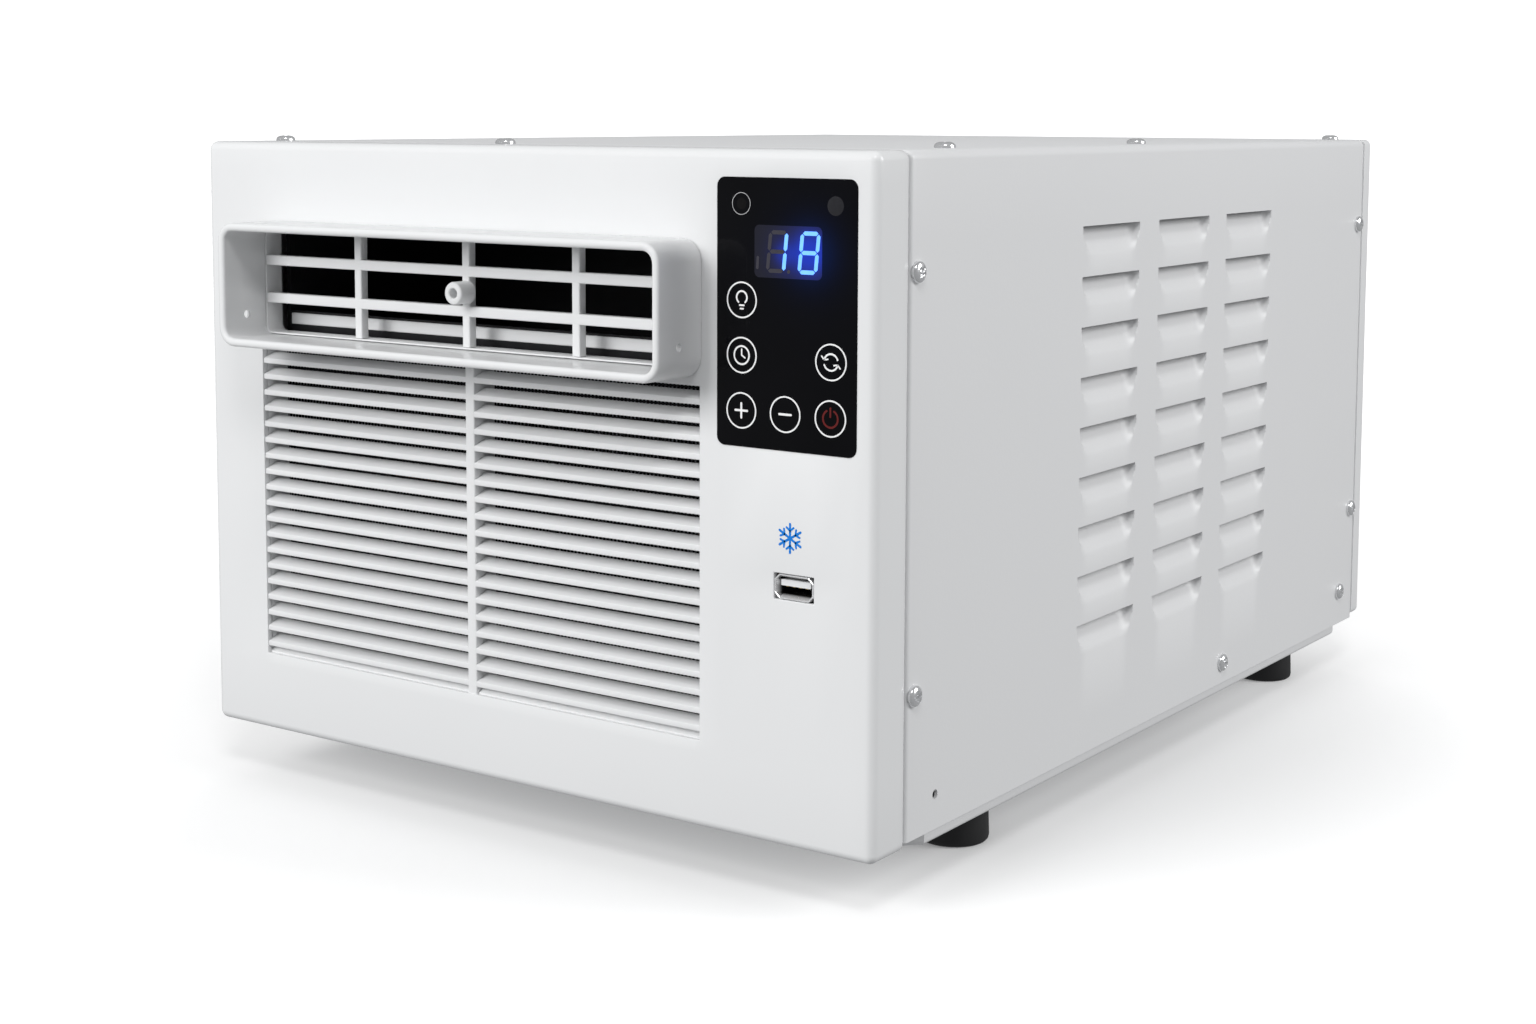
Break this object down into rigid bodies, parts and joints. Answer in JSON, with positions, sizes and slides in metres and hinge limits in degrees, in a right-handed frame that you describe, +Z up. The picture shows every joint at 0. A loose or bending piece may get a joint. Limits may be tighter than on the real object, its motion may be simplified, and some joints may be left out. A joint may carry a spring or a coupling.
{
  "type": "window air conditioner",
  "caption": "Boxy window air conditioner: slatted intake and hooded outlet in the front, touch keypad with display, louvred steel cover, rubber feet.",
  "frame": {"origin": "centre of the whole unit's box in plan, on the surface that the rubber feet stand on", "axes": "+X to the right as seen from the front, +Y from the front face to the rear panel, +Z up"},
  "size_m": [0.305, 0.45, 0.243],
  "materials": {
    "moulded_white": "glossy injection-moulded ABS",
    "painted_steel": "satin white powder coat on folded steel sheet",
    "keypad_black": "high-gloss black acrylic keypad plate",
    "smoked_lens": "smoked display window with blue digits behind it",
    "bright_metal": "bright nickel plating",
    "zinc_steel": "galvanised steel",
    "fin_aluminium": "thin pressed fins",
    "copper": null,
    "black_steel": "black enamel on steel",
    "rubber": "matt black moulded rubber",
    "grey_plastic": "matt moulded polypropylene",
    "dark_plastic": "matt black moulded plastic",
    "circuit_board": "green solder-masked board",
    "filter_mesh": "woven nylon mesh in a moulded frame"
  },
  "bodies": {
    "chassis": {"accumulator": "black_steel", "base_pan": "painted_steel", "blower_scroll": "dark_plastic", "bulkhead": "zinc_steel", "capillary_tube": "copper", "compressor": "black_steel", "compressor_grommet_1": "rubber", "compressor_grommet_2": "rubber", "compressor_grommet_3": "rubber", "condenser": "fin_aluminium", "control_board": "circuit_board", "control_panel": "keypad_black", "cover": "painted_steel", "cover_screw_left_1": "bright_metal", "cover_screw_left_2": "bright_metal", "cover_screw_left_3": "bright_metal", "cover_screw_left_4": "bright_metal", "cover_screw_left_5": "bright_metal", "cover_screw_left_6": "bright_metal", "cover_screw_right_1": "bright_metal", "cover_screw_right_2": "bright_metal", "cover_screw_right_3": "bright_metal", "cover_screw_right_4": "bright_metal", "cover_screw_right_5": "bright_metal", "cover_screw_right_6": "bright_metal", "discharge_pipe": "copper", "display_lens": "smoked_lens", "display_module": "dark_plastic", "drain_plug": "rubber", "drain_spout": "grey_plastic", "drip_tray": "grey_plastic", "evaporator": "fin_aluminium", "fan_motor": "zinc_steel", "fan_shroud": "grey_plastic", "filter_drier": "copper", "foot_front_left": "rubber", "foot_front_right": "rubber", "foot_rear_left": "rubber", "foot_rear_right": "rubber", "front_panel": "moulded_white", "intake_grille": "moulded_white", "ir_lens": "keypad_black", "ir_receiver": "dark_plastic", "liquid_pipe": "copper", "mains_inlet": "dark_plastic", "motor_cradle": "zinc_steel", "outlet_grid": "moulded_white", "outlet_hood": "moulded_white", "power_board": "circuit_board", "rear_panel": "painted_steel", "run_capacitor": "fin_aluminium", "suction_pipe": "copper", "temperature_sensor": "copper", "usb_shell": "bright_metal", "usb_tongue": "moulded_white"},
    "rotor": {"rotor_shaft": "zinc_steel", "blower_wheel": "dark_plastic", "condenser_fan": "dark_plastic"},
    "filter": {"air_filter": "filter_mesh"}
  },
  "joints": [
    {"name": "rotor_spin", "type": "hinge", "parent": "chassis", "child": "rotor", "pos_m": [-0.02, -0.032, 0.112], "axis": [0, 1, 0], "continuous": true},
    {"name": "filter_slide", "type": "slide", "parent": "chassis", "child": "filter", "axis": [-1, 0, 0], "range_m": [0, 0.2]}
  ]
}
